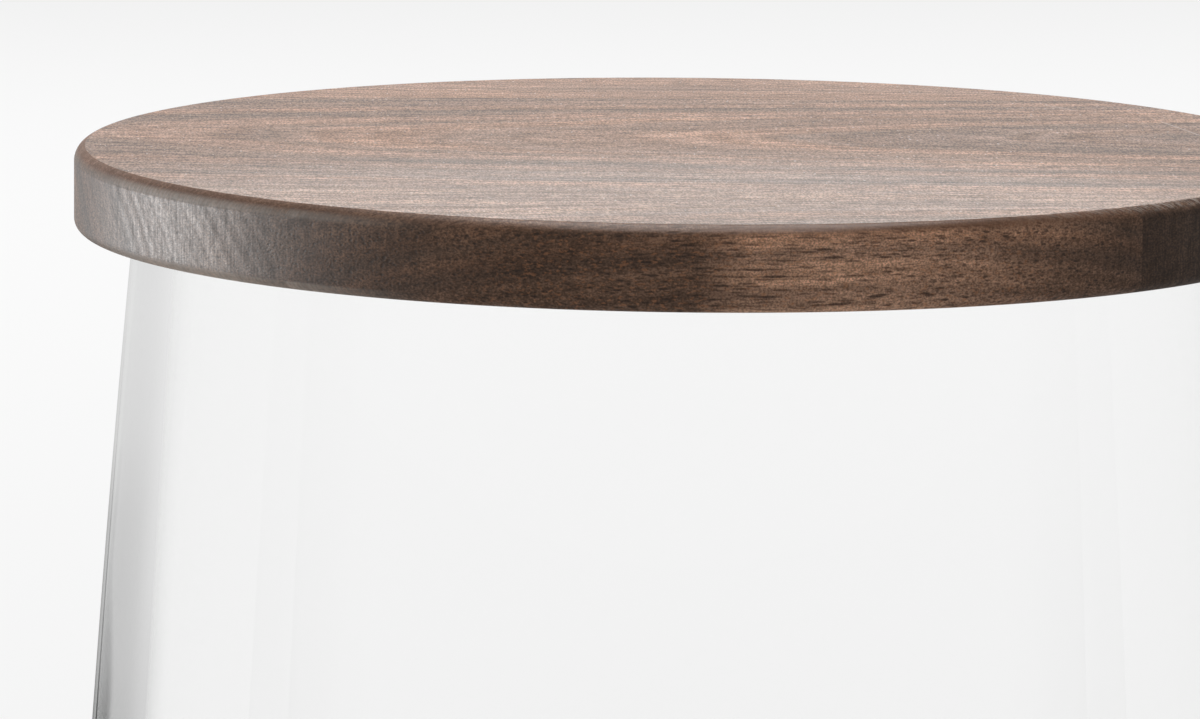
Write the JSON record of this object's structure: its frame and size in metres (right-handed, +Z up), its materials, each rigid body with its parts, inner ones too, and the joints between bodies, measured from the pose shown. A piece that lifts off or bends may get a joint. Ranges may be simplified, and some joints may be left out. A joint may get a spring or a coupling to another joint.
{
  "type": "lidded glass bowl",
  "caption": "Flared bowl of thick clear glass with a flat round walnut lid, glued up from boards and grooved underneath to seat on the rim.",
  "frame": {"origin": "centre of the foot ring, on the surface that the bowl stands on", "axes": "+Z up along the axis of the bowl and the way the lid lifts; -Y towards the narrow front board of the lid; +X to the right seen from there"},
  "size_m": [0.183, 0.183, 0.1686],
  "materials": {
    "clear_glass": "polished clear blown glass",
    "silicone": "translucent matte silicone",
    "walnut": "sanded and oiled, satin"
  },
  "bodies": {
    "bowl": {"glass_bowl": "clear_glass"},
    "lid": {"seal_ring": "silicone", "lid_front_board": "walnut", "lid_middle_board": "walnut", "lid_back_board": "walnut"}
  },
  "joints": [
    {"name": "lid_lift", "type": "slide", "parent": "bowl", "child": "lid", "axis": [0, 0, 1], "range_m": [0, 0.2]}
  ]
}
